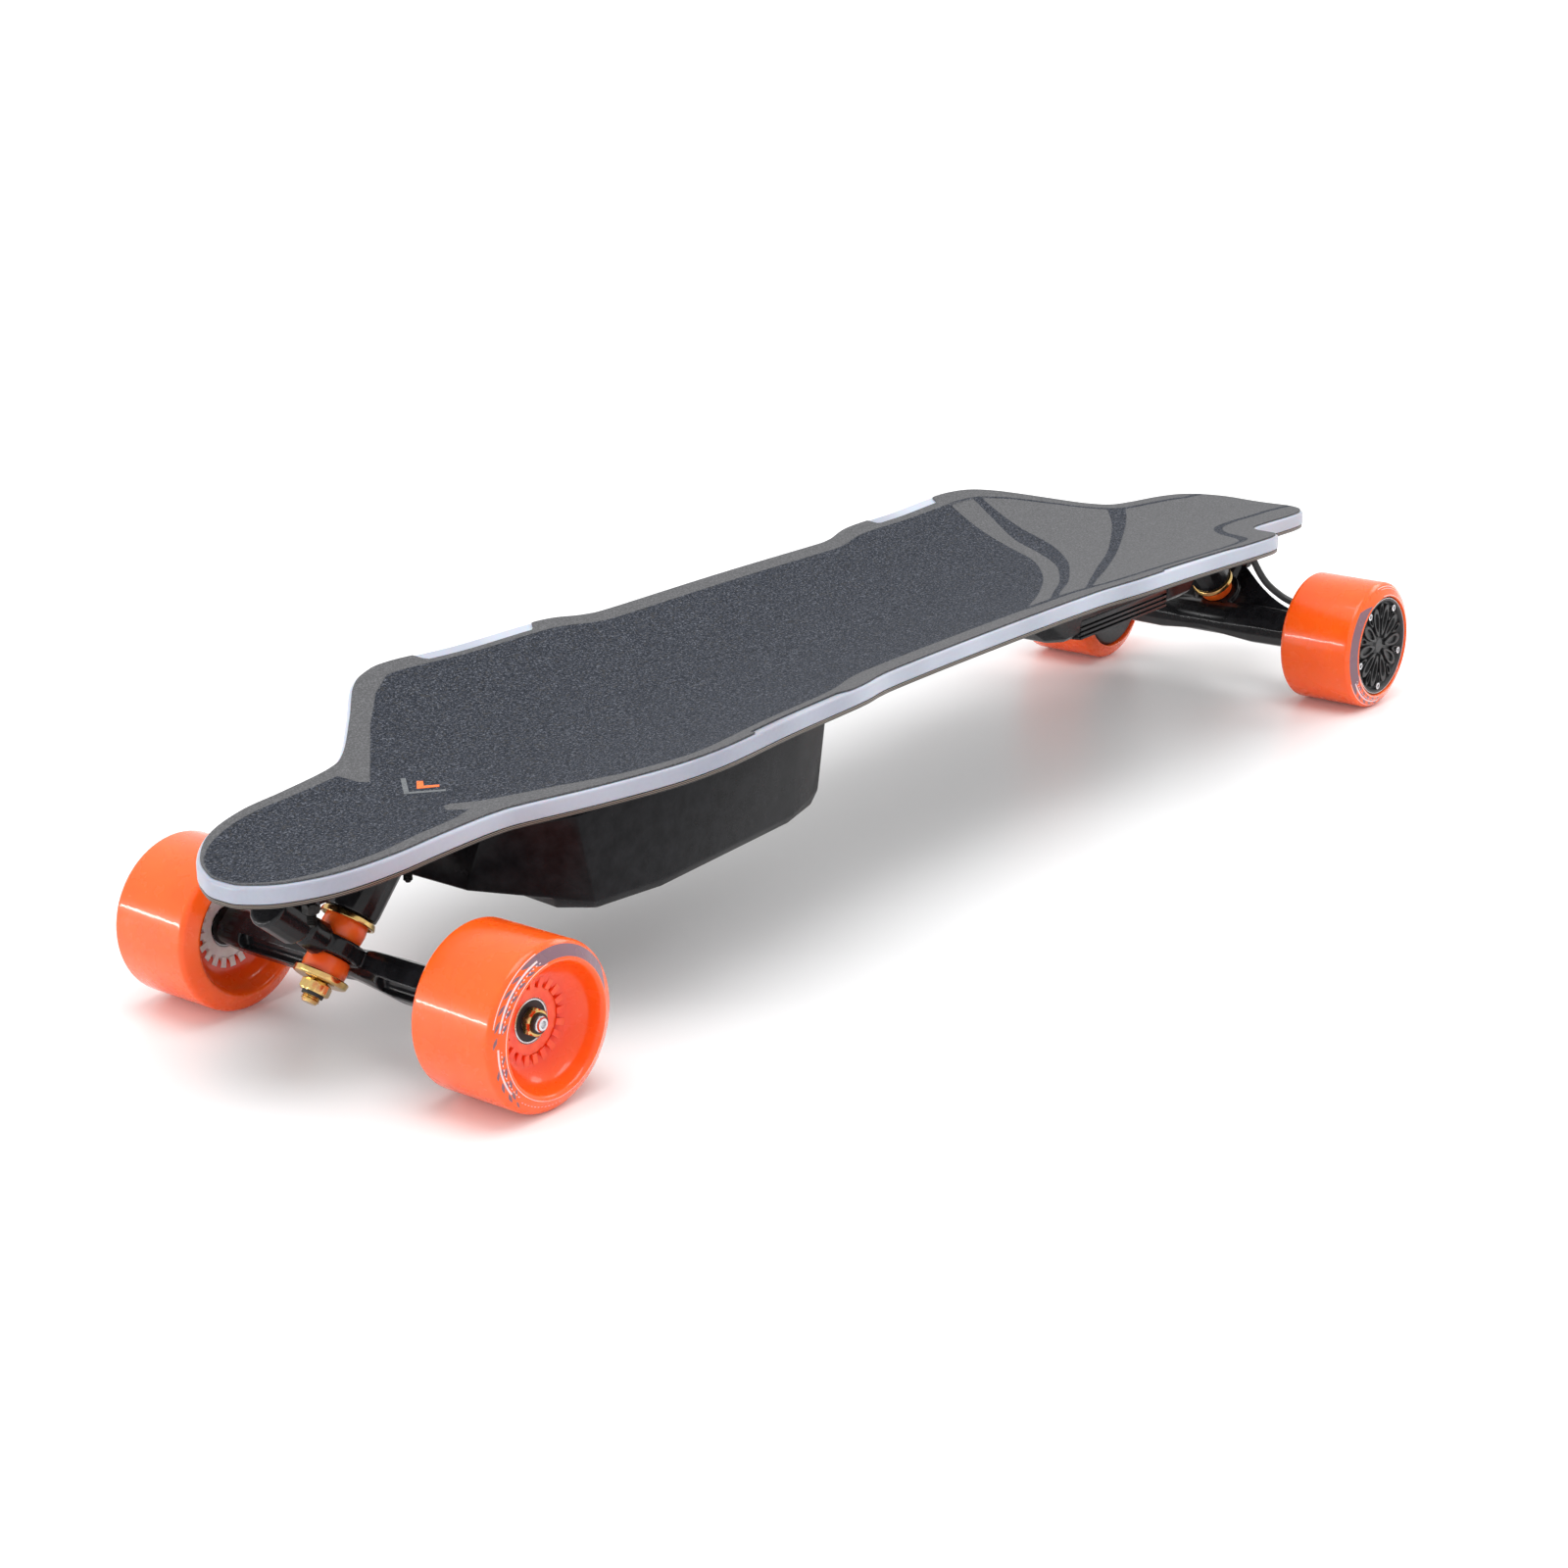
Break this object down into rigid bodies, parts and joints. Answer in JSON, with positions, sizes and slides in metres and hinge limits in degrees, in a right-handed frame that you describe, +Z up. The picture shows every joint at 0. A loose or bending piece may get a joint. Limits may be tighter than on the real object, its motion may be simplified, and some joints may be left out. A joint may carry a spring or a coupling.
{
  "type": "electric skateboard",
  "caption": "Electric longboard with a cambered concave deck, orange urethane wheels, rear hub motors and black battery and controller boxes underneath.",
  "frame": {"origin": "on the ground under the middle of the deck", "axes": "+X towards the nose, +Y to the rider's left facing the nose, +Z up"},
  "size_m": [0.972, 0.269, 0.1435],
  "materials": {
    "maple_ply": "black stained plies",
    "translucent_rail": "translucent, satin",
    "grip_grit": "coarse grit",
    "gloss_black_box": "gloss",
    "cell_wrap": "shrink wrap",
    "circuit_board": "solder mask",
    "heatsink_black": "black anodised",
    "soft_rubber": "matte",
    "button_plastic": "matte",
    "truck_black": "gloss black",
    "black_steel": "black oxide",
    "zinc_gold": "yellow zinc plating",
    "bearing_steel": "polished",
    "orange_urethane": "glossy translucent urethane",
    "pivot_urethane": "matte",
    "white_nylon": "satin",
    "motor_black": "satin black",
    "winding_copper": "enamelled wire",
    "cable_sheath": "satin"
  },
  "bodies": {
    "deck": {"deck_core": "maple_ply", "deck_rail": "translucent_rail", "grip_tape": "grip_grit", "battery_enclosure": "gloss_black_box", "battery_pack": "cell_wrap", "esc_enclosure": "gloss_black_box", "esc_heatsink": "heatsink_black", "esc_board": "circuit_board", "charge_port": "button_plastic", "front_baseplate": "truck_black", "front_kingpin": "zinc_gold", "front_kingpin_nut": "zinc_gold", "front_washer_upper": "zinc_gold", "front_washer_lower": "zinc_gold", "front_bushing_upper": "orange_urethane", "front_bushing_lower": "orange_urethane", "front_pivot_cup": "pivot_urethane", "front_bolt_1": "black_steel", "front_bolt_2": "black_steel", "front_bolt_3": "black_steel", "front_bolt_4": "black_steel", "rear_baseplate": "truck_black", "rear_kingpin": "zinc_gold", "rear_kingpin_nut": "zinc_gold", "rear_washer_upper": "zinc_gold", "rear_washer_lower": "zinc_gold", "rear_bushing_upper": "orange_urethane", "rear_bushing_lower": "orange_urethane", "rear_pivot_cup": "pivot_urethane", "rear_bolt_1": "black_steel", "rear_bolt_2": "black_steel", "rear_bolt_3": "black_steel", "rear_bolt_4": "black_steel"},
    "power_button": {"power_button": "button_plastic"},
    "charge_port_cap": {"charge_port_cap": "soft_rubber"},
    "front_hanger": {"front_hanger": "truck_black", "front_axle": "bearing_steel", "front_left_axle_nut": "zinc_gold", "front_right_axle_nut": "zinc_gold"},
    "rear_hanger": {"rear_hanger": "truck_black", "rear_axle": "bearing_steel", "rear_left_motor_stator": "winding_copper", "left_motor_cable": "cable_sheath", "rear_right_motor_stator": "winding_copper", "right_motor_cable": "cable_sheath"},
    "front_left_wheel": {"front_left_tyre": "orange_urethane", "front_left_core": "white_nylon", "front_left_bearing_outer": "bearing_steel", "front_left_bearing_inner": "bearing_steel"},
    "rear_left_wheel": {"rear_left_tyre": "orange_urethane", "rear_left_motor_rotor": "motor_black", "rear_left_motor_faceplate": "motor_black"},
    "front_right_wheel": {"front_right_tyre": "orange_urethane", "front_right_core": "white_nylon", "front_right_bearing_outer": "bearing_steel", "front_right_bearing_inner": "bearing_steel"},
    "rear_right_wheel": {"rear_right_tyre": "orange_urethane", "rear_right_motor_rotor": "motor_black", "rear_right_motor_faceplate": "motor_black"}
  },
  "joints": [
    {"name": "front_truck_steer", "type": "hinge", "parent": "deck", "child": "front_hanger", "pos_m": [0.417, 0, 0.056], "axis": [0.766, 0, 0.6428], "range_deg": [-17, 17], "stiffness_Nm_per_rad": 70, "deforming": ["front_bushing_upper", "front_bushing_lower"]},
    {"name": "rear_truck_steer", "type": "hinge", "parent": "deck", "child": "rear_hanger", "pos_m": [-0.431, 0, 0.056], "axis": [-0.766, 0, 0.6428], "range_deg": [-17, 17], "stiffness_Nm_per_rad": 70, "deforming": ["rear_bushing_upper", "rear_bushing_lower", "left_motor_cable", "right_motor_cable"]},
    {"name": "front_left_wheel_spin", "type": "hinge", "parent": "front_hanger", "child": "front_left_wheel", "pos_m": [0.404, 0.1052, 0.0425], "axis": [0, 1, 0], "continuous": true},
    {"name": "front_right_wheel_spin", "type": "hinge", "parent": "front_hanger", "child": "front_right_wheel", "pos_m": [0.404, -0.1052, 0.0425], "axis": [0, 1, 0], "continuous": true},
    {"name": "rear_left_wheel_spin", "type": "hinge", "parent": "rear_hanger", "child": "rear_left_wheel", "pos_m": [-0.418, 0.1052, 0.0425], "axis": [0, 1, 0], "continuous": true},
    {"name": "rear_right_wheel_spin", "type": "hinge", "parent": "rear_hanger", "child": "rear_right_wheel", "pos_m": [-0.418, -0.1052, 0.0425], "axis": [0, 1, 0], "continuous": true},
    {"name": "power_button_press", "type": "slide", "parent": "deck", "child": "power_button", "axis": [1, 0, 0], "range_m": [0, 0.0012], "stiffness_N_per_m": 600},
    {"name": "charge_cap_hinge", "type": "hinge", "parent": "deck", "child": "charge_port_cap", "pos_m": [0.1011, -0.024, 0.097], "axis": [0, 1, 0], "range_deg": [0, 110]}
  ]
}
